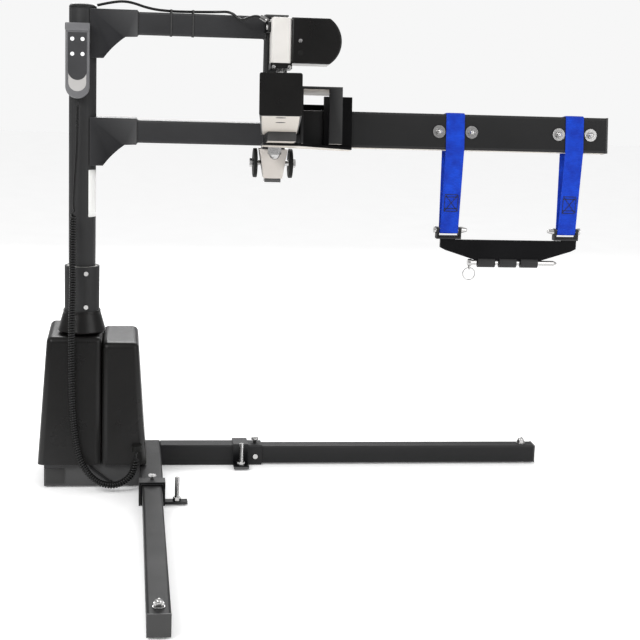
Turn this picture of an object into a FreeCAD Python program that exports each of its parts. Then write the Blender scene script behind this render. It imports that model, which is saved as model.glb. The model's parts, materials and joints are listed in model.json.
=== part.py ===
"""Patient lift hoist: slewing mast, boxed base, telescopic floor legs, tilting L-shaped boom with spreader.

Millimetres, +Z up. The origin is on the floor under the mast axis. The arms run along +X and the short jib
points along -Y. Everything on the jib is drawn level and then tilted about the jib's hinge pin.
"""

import FreeCAD, Part
import Sketcher
import math
import os
import re

from FreeCAD import Placement, Rotation, Vector

SIZES = {
    # base box
    "chassis_left": -82, "chassis_right": 134, "chassis_front": -70, "chassis_back": 155,
    "chassis_height": 62, "sheet_wall": 3, "foot_height": 3, "foot_radius": 12,
    "cover_overhang": 14, "cover_bottom": 56, "cover_height": 290, "cover_taper": 20,
    "cover_wall": 3, "cover_split": 32, "battery_step": 12, "cover_round": 14,
    # column and mast
    "mast_radius": 30, "mast_wall": 3, "mast_bottom": 112, "mast_top": 1078, "cap_height": 10,
    "column_radius": 39, "column_top": 500, "bush_height": 30, "running_gap": 0.05,
    "boot_bottom": 347, "boot_top": 400, "boot_flange_radius": 54, "boot_wall": 3,
    # arms and head post
    "arm_size": 50, "arm_wall": 3, "arm_start": 45, "arm_end": 400, "upper_arm_z": 1014,
    "lower_arm_z": 779, "socket_wall": 4, "socket_end": 119, "socket_drop": 48, "post_bottom": 772,
    # jib hinge and tilt
    "pivot_y": -55, "pivot_z": 840, "pivot_radius": 8, "lug_wall": 6, "lug_gap": 0.5,
    "jib_tilt": 8, "jib_yaw": 5.6, "jib_size": 80, "jib_wall": 4, "jib_back": -140, "jib_front": -600,
    # long boom
    "boom_depth": 40, "boom_height": 80, "boom_drop": 20, "boom_y": -65, "boom_end": 1172,
    "bracket_plate": 6, "bracket_top": 902, "bracket_right": 556, "socket_tip": 590,
    # actuator
    "act_top_y": -108, "act_top_z": 1040, "act_low_y": -125, "act_low_z": 905, "rod_radius": 9,
    "act_width": 44, "motor_length": 108, "motor_height": 98, "act_pin_radius": 5,
    # legs
    "outer_size": 50, "outer_wall": 3, "leg_gap": 0.5, "right_leg_y": 127,
    "right_outer_end": 428, "right_leg_end": 1103, "front_leg_x": 159, "front_outer_end": -215,
    "front_leg_end": -952, "leg_overlap": 170,
    # handset
    "handset_width": 52, "handset_top": 1036, "handset_bottom": 874, "handset_depth": 22,
    "button_radius": 4.2, "button_height": 3,
    # straps, spreader and release pin
    "strap_width": 42, "strap_thick": 2.4, "strap_one_x": 824, "strap_two_x": 1098, "strap_bottom": 602,
    "spreader_wall": 8, "bolt_radius": 5, "pin_radius": 6, "knuckle_radius": 11, "pin_gap": 0.05,
    # cords
    "lead_radius": 2.5, "curly_radius": 8, "cable_radius": 3,
}

doc = FreeCAD.newDocument("patient_lift")
sheet = doc.addObject("Spreadsheet::Sheet", "dims")
for row, (alias, number) in enumerate(SIZES.items(), start=1):
    sheet.set("A%d" % row, alias)
    sheet.set("B%d" % row, str(number))
    sheet.setAlias("B%d" % row, alias)
doc.recompute()

ALIAS = re.compile(r"\b(" + "|".join(sorted(SIZES, key=len, reverse=True)) + r")\b")
parts = {}


def size(alias):
    """The sheet's value of one named size."""
    return float(sheet.get(alias))


def bind(obj, prop, formula):
    """Binds a property to a formula in the sheet's names; a plain number is set as it is."""
    if isinstance(formula, str):
        obj.setExpression(prop, ALIAS.sub(r"dims.\1", formula))
    elif "." in prop:
        axis = prop.rsplit(".", 1)[1]
        base = obj.Placement.Base
        setattr(base, axis, formula)
        obj.Placement.Base = base
    else:
        setattr(obj, prop, formula)


def place(obj, at, turn=None):
    """Sets a primitive's corner or centre, each coordinate a number or a formula."""
    if turn is not None:
        obj.Placement = Placement(Vector(), turn)
    for axis, formula in zip("xyz", at):
        bind(obj, "Placement.Base." + axis, formula)
    return obj


def box(name, at, length, width, height):
    obj = doc.addObject("Part::Box", name)
    for prop, formula in zip(("Length", "Width", "Height"), (length, width, height)):
        bind(obj, prop, formula)
    return place(obj, at)


TURN = {"x": Rotation(Vector(0, 1, 0), 90), "y": Rotation(Vector(1, 0, 0), -90), "z": Rotation()}


def rod(name, at, axis, radius, length):
    """A cylinder that starts at a point and runs along +X, +Y or +Z."""
    obj = doc.addObject("Part::Cylinder", name)
    bind(obj, "Radius", radius)
    bind(obj, "Height", length)
    return place(obj, at, TURN[axis])


def hexagon(name, at, axis, across, length):
    obj = doc.addObject("Part::Prism", name)
    obj.Polygon = 6
    bind(obj, "Circumradius", across)
    bind(obj, "Height", length)
    return place(obj, at, TURN[axis])


def dome(name, at, radius):
    obj = doc.addObject("Part::Sphere", name)
    bind(obj, "Radius", radius)
    return place(obj, at)


def fuse(name, *shapes):
    obj = doc.addObject("Part::MultiFuse", name)
    obj.Shapes = list(shapes)
    obj.Refine = True
    return obj


def cut(name, base, *tools):
    for count, tool in enumerate(tools):
        obj = doc.addObject("Part::Cut", "%s_cut%d" % (name, count))
        obj.Base = base
        obj.Tool = tool
        base = obj
    return base


def group(name, *shapes):
    """Separate solids kept in one part, such as identical bolts."""
    obj = doc.addObject("Part::Compound", name)
    obj.Links = list(shapes)
    return obj


def round_edges(name, base, radius, keep):
    """Fillets the edges of a shape whose middle and direction pass a test."""
    doc.recompute()
    chosen = []
    for number, edge in enumerate(base.Shape.Edges, start=1):
        if len(edge.Vertexes) == 2:
            span = edge.Vertexes[1].Point - edge.Vertexes[0].Point
            if keep(edge.CenterOfMass, span.normalize()):
                chosen.append((number, radius, radius))
    obj = doc.addObject("Part::Fillet", name)
    obj.Base = base
    obj.Edges = chosen
    return obj


def along(axis):
    """A test that keeps the edges parallel to one axis."""
    return lambda middle, span: abs(getattr(span, axis)) > 0.99


def square_tube(name, at, lengths, wall, axis):
    """A rectangular tube with rounded corners, open at both ends along its axis."""
    outer = box(name + "_outer", at, *lengths)
    inner_at, inner_lengths = [], []
    for letter, start, span in zip("xyz", at, lengths):
        open_end = letter == axis
        inner_at.append("(%s) %s" % (start, "- 1" if open_end else "+ " + wall))
        inner_lengths.append("(%s) %s" % (span, "+ 2" if open_end else "- 2 * " + wall))
    inner = box(name + "_inner", inner_at, *inner_lengths)
    tube_corner = 1.6 * size(wall)
    rounded = round_edges(name + "_round", outer, tube_corner, along(axis))
    return cut(name, rounded, inner)


def sketch_body(name, plane, points, profile_shift=None):
    """A PartDesign body with one closed sketch whose corners are all tied to the sheet."""
    body = doc.addObject("PartDesign::Body", name)
    sketch = body.newObject("Sketcher::SketchObject", name + "_sketch")
    origin = [f for f in body.Origin.OriginFeatures if f.Role == plane][0]
    sketch.AttachmentSupport = [(origin, "")]
    sketch.MapMode = "FlatFace"
    if profile_shift is not None:
        bind(sketch, "AttachmentOffset.Base.z", profile_shift)
    count = len(points)
    values = [[number_of(a), number_of(b)] for a, b in points]
    for i in range(count):
        start, end = values[i], values[(i + 1) % count]
        sketch.addGeometry(Part.LineSegment(Vector(*start, 0), Vector(*end, 0)), False)
    for i in range(count):
        sketch.addConstraint(Sketcher.Constraint("Coincident", i, 2, (i + 1) % count, 1))
    for i, (a, b) in enumerate(points):
        for kind, formula, value in (("DistanceX", a, values[i][0]), ("DistanceY", b, values[i][1])):
            number = sketch.addConstraint(Sketcher.Constraint(kind, -1, 1, i, 1, value))
            if isinstance(formula, str):
                sketch.setExpression("Constraints[%d]" % number, ALIAS.sub(r"dims.\1", formula))
    return body, sketch


def number_of(formula):
    """The value of a formula at the present sizes."""
    if not isinstance(formula, str):
        return float(formula)
    return float(worked_out(formula))


def worked_out(formula):
    probe = doc.getObject("probe") or doc.addObject("Part::Vertex", "probe")
    probe.setExpression("X", ALIAS.sub(r"dims.\1", formula))
    probe.recompute()
    return probe.X.Value


def pad(body, sketch, length, centred=False):
    feature = body.newObject("PartDesign::Pad", body.Name + "_pad")
    feature.Profile = sketch
    bind(feature, "Length", length)
    feature.Midplane = centred
    return body


def turned(name, points):
    """A ring turned about the mast axis from a section in the XZ plane."""
    body, sketch = sketch_body(name, "XZ_Plane", points)
    feature = body.newObject("PartDesign::Revolution", name + "_turn")
    feature.Profile = sketch
    feature.ReferenceAxis = (sketch, ["V_Axis"])
    feature.Angle = 360
    return body


def free_shape(name, shape):
    obj = doc.addObject("Part::Feature", name)
    obj.Shape = shape
    return obj


def route_wire(points):
    """Straight runs joined by tangent arcs, each as large as its two runs allow."""
    share = 0.45
    edges, last = [], points[0]
    for before, corner, after in zip(points, points[1:], points[2:]):
        to_last, to_next = (before - corner), (after - corner)
        shorter = min(to_last.Length, to_next.Length)
        to_last.normalize()
        to_next.normalize()
        turn = math.pi - to_last.getAngle(to_next)
        trim = share * shorter
        radius = trim / math.tan(turn / 2)
        start, end = corner + to_last * trim, corner + to_next * trim
        bisector = (to_last + to_next).normalize()
        centre = corner + bisector * math.hypot(radius, trim)
        middle = centre - bisector * radius
        edges.append(Part.LineSegment(last, start).toShape())
        edges.append(Part.Arc(start, middle, end).toShape())
        last = end
        print("  arc radius %.0f mm" % radius)
    edges.append(Part.LineSegment(last, points[-1]).toShape())
    return Part.Wire(edges)


def cord_tube(name, points, radius):
    """A round cord along a route, with its volume compared with section times length."""
    print(name)
    wire = route_wire(points)
    start = wire.Edges[0]
    section = Part.Wire(Part.makeCircle(radius, start.valueAt(start.FirstParameter),
                                        start.tangentAt(start.FirstParameter)))
    tube = wire.makePipeShell([section], True, True)
    expected = math.pi * radius ** 2 * wire.Length
    assert abs(tube.Volume / expected - 1) < 0.02, name
    return free_shape(name, tube)


def keep(obj, label=None):
    """Enters an object as a finished sub-part."""
    obj.Label = label or obj.Name
    parts[obj.Label] = obj
    return obj


# ---------------------------------------------------------------- base box, covers and column
def base_box():
    width, depth = "chassis_right - chassis_left", "chassis_back - chassis_front"
    shell = box("chassis_shell", ("chassis_left", "chassis_front", "foot_height"),
                width, depth, "chassis_height - foot_height")
    hollow = box("chassis_hollow", ("chassis_left + sheet_wall", "chassis_front + sheet_wall",
                                    "foot_height + sheet_wall"),
                 "%s - 2 * sheet_wall" % width, "%s - 2 * sheet_wall" % depth, "chassis_height")
    keep(cut("base_chassis", shell, hollow), "base_chassis")
    feet = []
    inset = "foot_radius + 8"
    for side, x in (("left", "chassis_left + " + inset), ("right", "chassis_right - (%s)" % inset)):
        for end, y in (("front", "chassis_front + " + inset), ("back", "chassis_back - (%s)" % inset)):
            feet.append(rod("foot_%s_%s" % (side, end), (x, y, 0), "z", "foot_radius", "foot_height"))
    # a fifth foot stands on the mast axis, straight under the column's load
    feet.append(rod("foot_centre", (0, 0, 0), "z", "foot_radius", "foot_height"))
    keep(group("base_feet", *feet))


def tapered_shell(name, left, right, left_taper, right_taper, height):
    """A plastic cover, open below, that narrows upwards on its outer sides."""
    solids = []
    for skin, inset in (("outer", "0"), ("inner", "cover_wall")):
        wedge = doc.addObject("Part::Wedge", name + "_" + skin)
        # the wedge narrows along its own Y, which is turned to point up
        front, back = "chassis_front - cover_overhang", "chassis_back + cover_overhang"
        for prop, formula in (
            ("Xmin", "(%s) + %s" % (left, inset)), ("Xmax", "(%s) - %s" % (right, inset)),
            ("X2min", "(%s) + %s + %s" % (left, left_taper, inset)),
            ("X2max", "(%s) - %s - %s" % (right, right_taper, inset)),
            ("Zmin", "-(%s) + %s" % (back, inset)), ("Zmax", "-(%s) - %s" % (front, inset)),
            ("Z2min", "-(%s) + cover_taper + %s" % (back, inset)),
            ("Z2max", "-(%s) - cover_taper - %s" % (front, inset)),
            ("Ymin", "0" if skin == "outer" else "-1"), ("Ymax", "(%s) - %s" % (height, inset)),
        ):
            bind(wedge, prop, formula)
        place(wedge, (0, 0, "cover_bottom"), Rotation(Vector(1, 0, 0), 90))
        solids.append(wedge)
    top = size("cover_bottom") + number_of(height)
    upright = lambda middle, span: abs(span.z) > 0.9 or middle.z > top - size("cover_wall") - 1
    outer = round_edges(name + "_round", solids[0], size("cover_round"), upright)
    inner = round_edges(name + "_inner_round", solids[1], size("cover_round") - size("cover_wall"), upright)
    mouth = rod(name + "_mouth", (0, 0, "cover_bottom + 1"), "z", "column_radius + 0.5", "cover_height + 20")
    return cut(name, outer, inner, mouth)


def covers():
    keep(tapered_shell("main_cover", "chassis_left - cover_overhang", "cover_split + cover_overhang",
                       "cover_taper", "0", "cover_height"), "main_cover")
    shell = tapered_shell("battery_cover", "cover_split + cover_overhang + 0.4",
                          "chassis_right + cover_overhang", "0", "cover_taper", "cover_height - battery_step")
    keep(shell, "battery_cover")
    pack_at = ("cover_split + cover_overhang + 12", "chassis_front + 20", "foot_height + sheet_wall")
    keep(box("battery_pack", pack_at, 60, 130, 180))


def column():
    floor = "foot_height + sheet_wall"
    keep(rod("slew_gearmotor", (0, 0, floor), "z", "mast_radius + 2", "mast_bottom - 1 - (%s)" % floor))
    base = floor
    sleeve = rod("sleeve_outer", (0, 0, base), "z", "column_radius", "column_top - (%s)" % base)
    bore = rod("sleeve_bore", (0, 0, 0), "z", "mast_radius + 3", "column_top")
    keep(cut("column_sleeve", sleeve, bore), "column_sleeve")
    bushes = []
    for name, z in (("lower", "mast_bottom + 8"), ("upper", "column_top - bush_height")):
        ring = rod(name + "_bush_ring", (0, 0, z), "z", "mast_radius + 3", "bush_height")
        hole = rod(name + "_bush_hole", (0, 0, "(%s) - 1" % z), "z", "mast_radius + running_gap",
                   "bush_height + 2")
        bushes.append(cut(name + "_bush", ring, hole))
    keep(group("column_bushes", *bushes))
    inner = "column_radius + 0.1"
    keep(turned("column_boot", [
        (inner, "boot_bottom"), ("boot_flange_radius - 6", "boot_bottom"),
        ("boot_flange_radius", "boot_bottom + 6"), ("boot_flange_radius - 2", "boot_bottom + 12"),
        ("column_radius + 6", "boot_top - 16"), ("column_radius + boot_wall", "boot_top - 6"),
        ("column_radius + boot_wall", "boot_top"), (inner, "boot_top")]))
    heads = []
    for name, z in (("top", "column_top - 14"), ("low", "boot_top + 10")):
        heads.append(rod("sleeve_bolt_" + name, (10, "-column_radius - 2.5", z), "y", 5, 6))
    keep(group("sleeve_bolts", *heads))


# ---------------------------------------------------------------- telescopic floor legs
INNER_SIZE = "(outer_size - 2 * outer_wall - 2 * leg_gap)"


def leg_parts():
    half, inner_half = "outer_size / 2", INNER_SIZE + " / 2"
    outer_left = "front_leg_x - " + half
    back = "right_leg_y + " + half
    front_at = (outer_left, "front_outer_end", 0)
    front_span = ("outer_size", "%s - front_outer_end" % back, "outer_size")
    keep(square_tube("leg_outer_front", front_at, front_span, "outer_wall", "y"), "leg_outer_front")
    right_at = ("front_leg_x + " + half, "right_leg_y - " + half, 0)
    right_span = ("right_outer_end - front_leg_x - " + half, "outer_size", "outer_size")
    keep(square_tube("leg_outer_right", right_at, right_span, "outer_wall", "x"), "leg_outer_right")
    inset = "(outer_wall + leg_gap)"
    reach = "right_leg_end - right_outer_end + leg_overlap"
    keep(square_tube("leg_inner_right",
                     ("right_outer_end - leg_overlap", "right_leg_y - " + inner_half, inset),
                     (reach, INNER_SIZE, INNER_SIZE), "outer_wall", "x"), "leg_inner_right")
    reach = "front_outer_end + leg_overlap - front_leg_end"
    keep(square_tube("leg_inner_front", ("front_leg_x - " + inner_half, "front_leg_end", inset),
                     (INNER_SIZE, reach, INNER_SIZE), "outer_wall", "y"), "leg_inner_front")
    cap = 4
    caps = {
        "right": ("right_leg_end", "right_leg_y - " + inner_half, inset, cap, INNER_SIZE),
        "front": ("front_leg_x - " + inner_half, "front_leg_end - %d" % cap, inset, INNER_SIZE, cap),
    }
    centre = {"right": ("right_leg_end - 28", "right_leg_y"), "front": ("front_leg_x", "front_leg_end + 28")}
    for side, (x, y, z, length, width) in caps.items():
        keep(box("leg_cap_" + side, (x, y, z), length, width, INNER_SIZE))
        cx, cy = centre[side]
        top = "(outer_size - outer_wall - leg_gap)"
        pad_disc = rod("leg_foot_" + side, (cx, cy, 0), "z", 15, inset)
        washer = rod("leg_washer_" + side, (cx, cy, top), "z", 11, 2)
        nut = hexagon("leg_nut_" + side, (cx, cy, "%s + 2" % top), "z", 9.5, 7)
        crown = dome("leg_crown_" + side, (cx, cy, "%s + 9" % top), 7.5)
        keep(group("leg_end_bolt_" + side, pad_disc, fuse("leg_bolt_head_" + side, washer, nut, crown)))


def clamp_collar(name, x, y, axis):
    """A U-shaped collar over the end of an outer leg tube, with a side lug and its jacking screw."""
    wall, length = 4, 36
    half = "outer_size / 2 + %d" % wall
    if axis == "x":
        at, spans = (x, "%s - (%s)" % (y, half), 0), (length, "2 * (%s)" % half, "outer_size + %d" % wall)
        lug = box(name + "_lug", (x, "%s - (%s) - 42" % (y, half), 3), length, 43, 6)
        screw = ("(%s) + 18" % x, "%s - (%s) - 24" % (y, half))
        slot = box(name + "_slot", ("(%s) - 1" % x, "%s - outer_size / 2" % y, -1), length + 2,
                   "outer_size", "outer_size + 1")
    else:
        at, spans = ("%s - (%s)" % (x, half), y, 0), ("2 * (%s)" % half, length, "outer_size + %d" % wall)
        lug = box(name + "_lug", ("%s + (%s) - 1" % (x, half), y, 3), 50, 24, 6)
        screw = ("%s + (%s) + 26" % (x, half), "(%s) + 12" % y)
        slot = box(name + "_slot", ("%s - outer_size / 2" % x, "(%s) - 1" % y, -1), "outer_size",
                   length + 2, "outer_size + 1")
    hole = rod(name + "_hole", (screw[0], screw[1], -1), "z", 5.05, 20)
    collar = cut(name, fuse(name + "_body", box(name + "_block", at, *spans), lug), slot, hole)
    keep(collar, name)
    stud = rod(name + "_stud", (screw[0], screw[1], 0), "z", 5, 62)
    nut = hexagon(name + "_nut", (screw[0], screw[1], 9), "z", 9, 8)
    return fuse(name + "_screw", stud, nut)


def legs_and_clamps():
    leg_parts()
    right = clamp_collar("right_leg_collar", "right_outer_end - 70", "right_leg_y", "x")
    front = clamp_collar("front_leg_collar", "front_leg_x", "front_outer_end + 2", "y")
    keep(group("levelling_studs", right, front))
    screws = []
    for name, x, y, z in (("right", "right_outer_end - 16", "right_leg_y", "outer_size"),
                          ("front", "front_leg_x", "front_outer_end + 20", "outer_size + 4")):
        stem = rod("clamp_stem_" + name, (x, y, z), "z", 4, 8)
        head = rod("clamp_head_" + name, (x, y, "%s + 8" % z), "z", 9, 4)
        screws.append(fuse("clamp_screw_" + name, stem, head))
    side_boss = rod("clamp_boss", ("right_outer_end - 16", "right_leg_y - outer_size / 2 - 3", 22), "y", 6, 3)
    keep(group("clamp_screws", side_boss, *screws))


# ---------------------------------------------------------------- mast, arms and head post
def arm_socket(name, arm_z):
    """A welded socket round the root of an arm, its underside swept down to the mast."""
    top = size(arm_z) + size("arm_size") + size("socket_wall")
    end, drop = size("socket_end"), size("socket_drop")
    bottom = size(arm_z) - size("socket_wall")
    half = size("arm_size") / 2 + size("socket_wall")
    low = bottom - drop
    hollow_start = 0.38 * end
    points = [Vector(0, 0, low), Vector(hollow_start, 0, low), Vector(end * 0.52, 0, low + drop * 0.42),
              Vector(end * 0.78, 0, bottom - 1)]
    sweep = Part.BSplineCurve()
    sweep.interpolate(points[1:])
    corners = [points[-1], Vector(end, 0, bottom), Vector(end, 0, top), Vector(0, 0, top), points[0],
               points[1]]
    edges = [sweep.toShape()] + [Part.LineSegment(a, b).toShape() for a, b in zip(corners, corners[1:])]
    web = Part.Face(Part.Wire(Part.__sortEdges__(edges))).extrude(Vector(0, 2 * half, 0))
    web.translate(Vector(0, -half, 0))
    mast = Part.makeCylinder(size("mast_radius"), size("mast_top") * 2)
    arm = Part.makeBox(end, size("arm_size"), size("arm_size"),
                       Vector(size("arm_start"), -size("arm_size") / 2, size(arm_z)))
    left = Part.makeBox(size("mast_radius") * 0.55, 4 * half, 4 * top, Vector(0, -2 * half, 0))
    keep(free_shape(name, web.cut(mast).cut(arm).cut(left).Solids[0]))


def mast_assembly():
    tube = rod("mast_outer", (0, 0, "mast_bottom"), "z", "mast_radius", "mast_top - cap_height - mast_bottom")
    bore = rod("mast_bore", (0, 0, "mast_bottom - 1"), "z", "mast_radius - mast_wall", "mast_top")
    keep(cut("mast_tube", tube, bore), "mast_tube")
    keep(turned("mast_cap", [
        (0, "mast_top - cap_height"), ("mast_radius", "mast_top - cap_height"), ("mast_radius",
                                                                                 "mast_top - 6"),
        ("mast_radius - 3", "mast_top - 2"), ("mast_radius - 9", "mast_top"), (0, "mast_top")]))
    for level in ("upper", "lower"):
        arm_socket(level + "_arm_socket", level + "_arm_z")
        at = ("arm_start", "-arm_size / 2", level + "_arm_z")
        spans = ("arm_end - arm_start", "arm_size", "arm_size")
        keep(square_tube(level + "_arm", at, spans, "arm_wall", "x"), level + "_arm")
    post_top = "upper_arm_z + arm_size"
    keep(square_tube("head_post", ("arm_end", "-arm_size / 2", "post_bottom"),
                     ("arm_size", "arm_size", "%s - post_bottom" % post_top), "arm_wall", "z"), "head_post")
    keep(box("post_cap", ("arm_end", "-arm_size / 2", post_top), "arm_size", "arm_size", 4))


HEAD = "arm_end + arm_size / 2"


def ear(name, x, y, z, radius, wall, root_y):
    """A plate across X with a round nose about a pin and a square root on the post."""
    nose = rod(name + "_nose", (x, y, z), "x", radius, wall)
    root = box(name + "_root", (x, y, "(%s) - (%s)" % (z, radius)), wall, "(%s) - (%s)" % (root_y, y),
               "2 * (%s)" % radius)
    return fuse(name, nose, root)


def head_hinges():
    """The two ears and pin that carry the jib, and the ear and pin that carry the actuator."""
    knuckle = 36
    face = "-arm_size / 2"
    half = "%d / 2 + lug_gap" % knuckle
    ears, tools = [], []
    for side, x in (("left", "%s - (%s) - lug_wall" % (HEAD, half)), ("right", "%s + %s" % (HEAD, half))):
        ears.append(ear("jib_ear_" + side, x, "pivot_y", "pivot_z", 18, "lug_wall", face))
        tools.append(rod("jib_ear_hole_" + side, ("(%s) - 1" % x, "pivot_y", "pivot_z"), "x",
                         "pivot_radius", "lug_wall + 2"))
    keep(group("jib_hinge_lugs", *[cut("jib_lug%d" % i, e, h) for i, (e, h) in enumerate(zip(ears, tools))]))
    reach = "%s - (%s) - lug_wall - 4" % (HEAD, half)
    pin = rod("pivot_shank", (reach, "pivot_y", "pivot_z"), "x", "pivot_radius",
              "2 * (%s + lug_wall + 4)" % half)
    ends = [rod("pivot_head_" + side, (x, "pivot_y", "pivot_z"), "x", 12, 4)
            for side, x in (("a", "%s - 1" % reach), ("b", "%s + %s + lug_wall + 1" % (HEAD, half)))]
    keep(fuse("jib_pivot_pin", pin, *ends))
    gap = "act_width / 2 + lug_gap"
    ear_x = "%s - (%s) - lug_wall" % (HEAD, gap)
    plate = ear("act_ear", ear_x, "act_top_y", "act_top_z", 12, "lug_wall", face)
    # the ear stands on the gearbox's left, and its root is a bar across the front of the post
    bridge = box("act_bridge", (ear_x, "-arm_size / 2 - 6", "act_top_z - 12"), "2 * (%s + lug_wall)" % gap,
                 6, 24)
    keep(fuse("actuator_top_bracket", bridge, plate))
    pin_x = "%s - (%s) - lug_wall - 3" % (HEAD, gap)
    keep(rod("actuator_top_pin", (pin_x, "act_top_y", "act_top_z"), "x", "act_pin_radius - 0.05",
             "lug_wall + 20"))


def cut_pin_holes():
    """Opens the actuator bracket for its pin once both exist."""
    bracket = parts.pop("actuator_top_bracket")
    bracket.Label = "actuator_bracket_blank"
    hole = rod("act_top_hole", (HEAD + " - act_width", "act_top_y", "act_top_z"), "x",
               "act_pin_radius - 0.05", "act_width")
    keep(cut("actuator_bracket", bracket, hole), "actuator_top_bracket")


def roller_bracket():
    """Tapered block under the post with a roller each side, and the domed nut of the post bolt."""
    top, tall, half_top, half_low, deep = "post_bottom", 66, 32, 21, 20
    keep(pad(*sketch_body("roller_bracket", "XZ_Plane", [
        ("%s - %d" % (HEAD, half_top), top), ("%s - %d" % (HEAD, half_low), "%s - %d" % (top, tall)),
        ("%s + %d" % (HEAD, half_low), "%s - %d" % (top, tall)), ("%s + %d" % (HEAD, half_top), top)],
    ), 2 * deep, centred=True))
    pad_height = 9
    keep(box("rubber_pad", ("%s - 18" % HEAD, -15, "%s - %d" % (top, tall + pad_height)), 36, 30, pad_height))
    axle_z = "%s - %d" % (top, tall / 2)
    axle = rod("roller_axle_shank", ("%s - 49" % HEAD, 0, axle_z), "x", 6, 98)
    heads = [hexagon("axle_head_%d" % i, (x, 0, axle_z), "x", 10, 6)
             for i, x in enumerate(("%s - 52" % HEAD, "%s + 46" % HEAD))]
    keep(fuse("roller_axle_bolt", axle, *heads), "roller_axle")
    block = parts.pop("roller_bracket")
    block.Label = "roller_block_blank"
    keep(cut("roller_block", block, rod("axle_hole", ("%s - 60" % HEAD, 0, axle_z), "x", 6, 120)),
         "roller_bracket")
    for side, x in (("left", "%s - 44" % HEAD), ("right", "%s + 36" % HEAD)):
        wheel = rod("roller_%s_disc" % side, (x, 0, axle_z), "x", 33, 8)
        hole = rod("roller_%s_hole" % side, ("(%s) - 1" % x, 0, axle_z), "x", "6 + running_gap", 10)
        keep(cut("roller_" + side, wheel, hole), "roller_" + side)
    nut_y = "-arm_size / 2 - 16"
    tab = box("nut_tab", ("%s - 15" % HEAD, "%s - 15" % nut_y, "post_bottom + 6"), 30,
              "arm_size / 2 + 6 - 10", 6)
    nut = hexagon("nut_hex", (HEAD, nut_y, "post_bottom - 10"), "z", 15, 16)
    crown = dome("nut_crown", (HEAD, nut_y, "post_bottom - 10"), 12)
    keep(fuse("post_foot_nut", tab, nut, crown))


# ---------------------------------------------------------------- handset with four keys
HANDSET_Y = "-mast_radius - 6"
BUTTONS = [("boom_up", -11, 34), ("boom_down", -11, 66), ("slew_left", 11, 34), ("slew_right", 11, 66)]


def handset():
    top, low = size("handset_top"), size("handset_bottom")
    half, depth = size("handset_width") / 2, size("handset_depth")
    back = number_of(HANDSET_Y)
    centre_x = -size("mast_radius") / 3
    lower = low + half
    edges = [Part.LineSegment(Vector(-half, 0, top), Vector(half, 0, top)).toShape(),
             Part.LineSegment(Vector(half, 0, top), Vector(half, 0, lower)).toShape(),
             Part.Arc(Vector(half, 0, lower), Vector(0, 0, low), Vector(-half, 0, lower)).toShape(),
             Part.LineSegment(Vector(-half, 0, lower), Vector(-half, 0, top)).toShape()]
    shell = Part.Face(Part.Wire(edges)).extrude(Vector(0, -depth, 0))
    rim = [e for e in shell.Edges if e.BoundBox.YMax < -depth + 0.01]
    shell = shell.makeFillet(4, rim)
    shell.translate(Vector(centre_x, back, 0))
    face_y = back - depth
    socket_depth = 2.4
    for name, dx, dz in BUTTONS:
        hole = Part.makeCylinder(size("button_radius") + 0.3, socket_depth,
                                 Vector(centre_x + dx, face_y, top - dz), Vector(0, 1, 0))
        shell = shell.cut(hole)
        # the key stands proud, and keeps room behind it for its travel
        travel = 1.2
        key = Part.makeCylinder(size("button_radius"), size("button_height"),
                                Vector(centre_x + dx, face_y + socket_depth - travel - 0.2,
                                       top - dz), Vector(0, -1, 0))
        keep(free_shape("button_" + name, key))
    keep(free_shape("handset_shell", shell))
    hook_wall = 3
    strip = Part.makeBox(30, hook_wall, 60, Vector(centre_x - 15, back, top - 60))
    mast = Part.makeCylinder(size("mast_radius"), size("mast_top") * 2)
    band = Part.makeCylinder(size("mast_radius") + hook_wall, 24, Vector(0, 0, top - 42))
    bridge = Part.makeBox(30, 20, 24, Vector(centre_x - 15, back + hook_wall, top - 42))
    socket = parts["upper_arm_socket"].Shape
    hook = strip.fuse(band).fuse(bridge).cut(mast).cut(Part.makeBox(200, 200, 400,
                                                                    Vector(size("mast_radius") - 12, -100,
                                                                           top - 200)))
    keep(free_shape("handset_hook", hook.cut(socket).removeSplitter().Solids[0]))


# ---------------------------------------------------------------- tilting jib and long boom
def tilted(obj, yaw=False):
    """Turns a level part about the jib hinge, after its own yaw about the jib's back end."""
    pivot = Vector(0, size("pivot_y"), size("pivot_z"))
    tilt = Placement(pivot, Rotation(Vector(1, 0, 0), -size("jib_tilt")))
    move = tilt.multiply(Placement(-pivot, Rotation()))
    if yaw:
        root = Vector(number_of(HEAD), size("jib_back"), 0)
        turn = Placement(root, Rotation(Vector(0, 0, 1), -size("jib_yaw")))
        move = move.multiply(turn.multiply(Placement(-root, Rotation())))
    doc.recompute()
    shape = obj.Shape.copy()
    shape.transformShape(move.toMatrix(), True)
    label = obj.Label
    obj.Label = label + "_level"
    return keep(free_shape(label + "_tilted", shape), label)


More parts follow.
